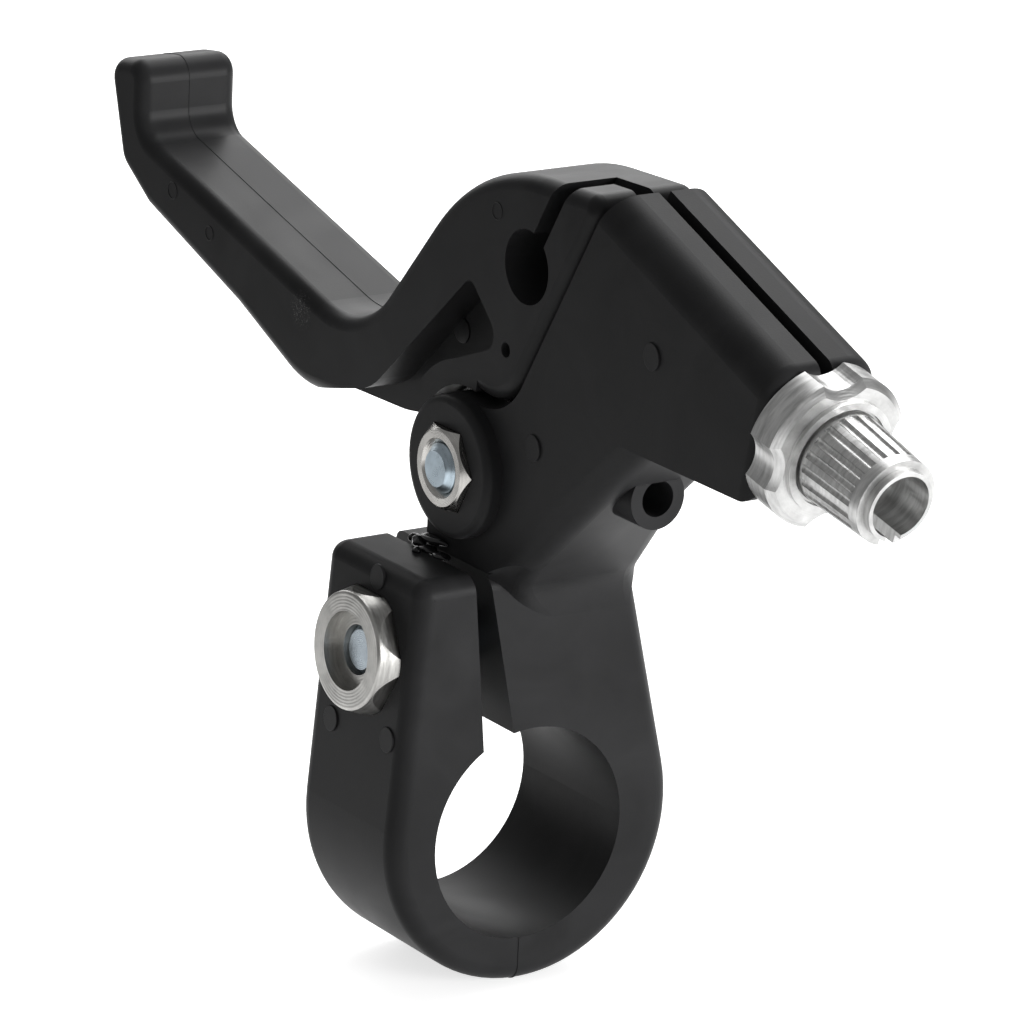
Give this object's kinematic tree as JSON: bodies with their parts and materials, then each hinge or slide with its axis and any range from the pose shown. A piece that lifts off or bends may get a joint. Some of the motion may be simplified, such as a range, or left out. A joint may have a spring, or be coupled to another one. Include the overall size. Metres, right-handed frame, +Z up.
{
  "type": "bicycle brake lever",
  "caption": "Moulded flat-bar brake lever with hinged blade, split handlebar clamp, slotted cable path and threaded barrel adjuster with lock ring.",
  "frame": {"origin": "centre of the handlebar bore, half way along the clamp's width", "axes": "+Y along the handlebar towards the lever's tip, +X along the pivot bolt from nut to head, +Z up from the bar to the lever"},
  "size_m": [0.0346, 0.1322, 0.0859],
  "materials": {
    "bracket_plastic": "moulded, fine satin",
    "lever_plastic": "moulded, slightly glossy",
    "zinc_steel": "blue-white zinc plate",
    "washer_steel": "stamped, plated",
    "bush_steel": "turned",
    "nut_alloy": "turned, bright",
    "adjuster_alloy": "turned and knurled, bright"
  },
  "bodies": {
    "bracket": {"bracket": "bracket_plastic", "pivot_bolt": "zinc_steel", "pivot_nut": "zinc_steel", "near_pivot_washer": "washer_steel", "far_pivot_washer": "washer_steel", "pivot_bush": "bush_steel", "clamp_nut": "nut_alloy", "clamp_bolt": "zinc_steel", "clamp_washer": "washer_steel"},
    "lever": {"lever_blade": "lever_plastic"},
    "lock_ring": {"lock_ring": "adjuster_alloy"},
    "barrel": {"barrel_adjuster": "adjuster_alloy"},
    "reach_screw": {"reach_screw": "zinc_steel"}
  },
  "joints": [
    {"name": "lever_pull", "type": "hinge", "parent": "bracket", "child": "lever", "pos_m": [0, -0.0033, 0.0377], "axis": [-1, 0, 0], "range_deg": [0, 28]},
    {"name": "adjuster_feed", "type": "slide", "parent": "bracket", "child": "lock_ring", "axis": [0, -0.9763, -0.2164], "range_m": [0, 0.005]},
    {"name": "adjuster_turn", "type": "hinge", "parent": "lock_ring", "child": "barrel", "pos_m": [0, -0.0513, 0.0528], "axis": [0, -0.9763, -0.2164], "range_deg": [0, 1800]},
    {"name": "reach_travel", "type": "slide", "parent": "bracket", "child": "reach_screw", "axis": [0, 1, 0], "range_m": [-0.004, 0]}
  ],
  "couplings": [
    {"joint": "adjuster_turn", "follows": "adjuster_feed", "rad_per_m": 6283.2}
  ]
}
